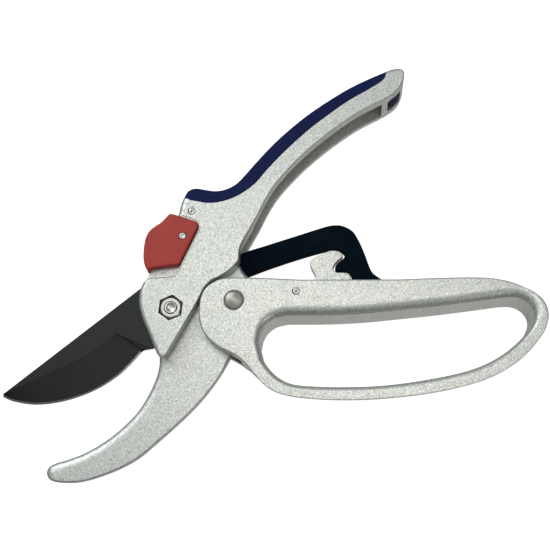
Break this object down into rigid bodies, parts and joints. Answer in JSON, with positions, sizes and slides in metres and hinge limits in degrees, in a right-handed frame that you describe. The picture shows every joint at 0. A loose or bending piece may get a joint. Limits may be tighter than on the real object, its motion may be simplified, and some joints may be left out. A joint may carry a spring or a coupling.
{
  "type": "ratchet bypass pruner",
  "caption": "Ratchet bypass pruner with a coated blade, cast hook jaw, closed loop handle and a sliding safety catch, lying open on its side.",
  "frame": {"origin": "main pivot axis at the plane the rear cheeks rest on", "axes": "+X along the loop handle away from the pivot, +Y towards the upper handle's side, +Z from the rear cheek to the front cheek"},
  "size_m": [0.2116, 0.1644, 0.0226],
  "materials": {
    "silver_paint": "satin",
    "navy_rubber": "matte",
    "red_plastic": "satin",
    "black_blade": "matte",
    "black_arm": "satin",
    "stainless": "satin",
    "zinc_steel": "satin",
    "spring_steel": "satin",
    "black_rubber": "matte",
    "pale_nylon": "matte"
  },
  "bodies": {
    "frame": {"upper_handle": "silver_paint", "grip_insert": "navy_rubber", "grip_end_plug": "navy_rubber", "hook_jaw": "silver_paint", "pivot_bolt": "zinc_steel", "pivot_nut": "zinc_steel", "blade_washer": "zinc_steel", "jaw_rivet_1": "stainless", "jaw_rivet_2": "stainless", "anchor_pin": "spring_steel", "handle_rivet": "stainless", "rivet_washer": "zinc_steel"},
    "blade_lever": {"cutting_blade": "black_blade", "ratchet_arm": "black_arm", "drive_hub": "stainless", "arm_spring": "spring_steel"},
    "loop_lever": {"loop_handle": "silver_paint", "handle_bumper": "black_rubber", "pawl_pin": "spring_steel", "pawl_spacer_rear": "pale_nylon", "pawl_spacer_front": "pale_nylon", "pawl_spring": "spring_steel", "return_spring": "spring_steel"},
    "pawl": {"ratchet_pawl": "silver_paint"},
    "catch": {"safety_catch": "red_plastic", "catch_pin": "stainless", "detent_spring": "spring_steel"}
  },
  "joints": [
    {"name": "loop_squeeze", "type": "hinge", "parent": "frame", "child": "loop_lever", "pos_m": [0.0247, 0.0027, 0.0105], "axis": [0, 0, 1], "range_deg": [0, 42], "stiffness_Nm_per_rad": 0.15, "springref_deg": -14.32},
    {"name": "blade_close", "type": "hinge", "parent": "frame", "child": "blade_lever", "pos_m": [0, 0, 0.0105], "axis": [0, 0, 1], "range_deg": [0, 25.2]},
    {"name": "pawl_tilt", "type": "hinge", "parent": "loop_lever", "child": "pawl", "pos_m": [0.0488, 0.006, 0.0105], "axis": [0, 0, 1], "range_deg": [-8.4, 0]},
    {"name": "catch_slide", "type": "slide", "parent": "frame", "child": "catch", "axis": [-0.4671, -0.8842, 0], "range_m": [0, 0.0036]}
  ],
  "couplings": [
    {"joint": "blade_close", "follows": "loop_squeeze", "ratio": 0.6},
    {"joint": "pawl_tilt", "follows": "loop_squeeze", "ratio": -0.2}
  ]
}
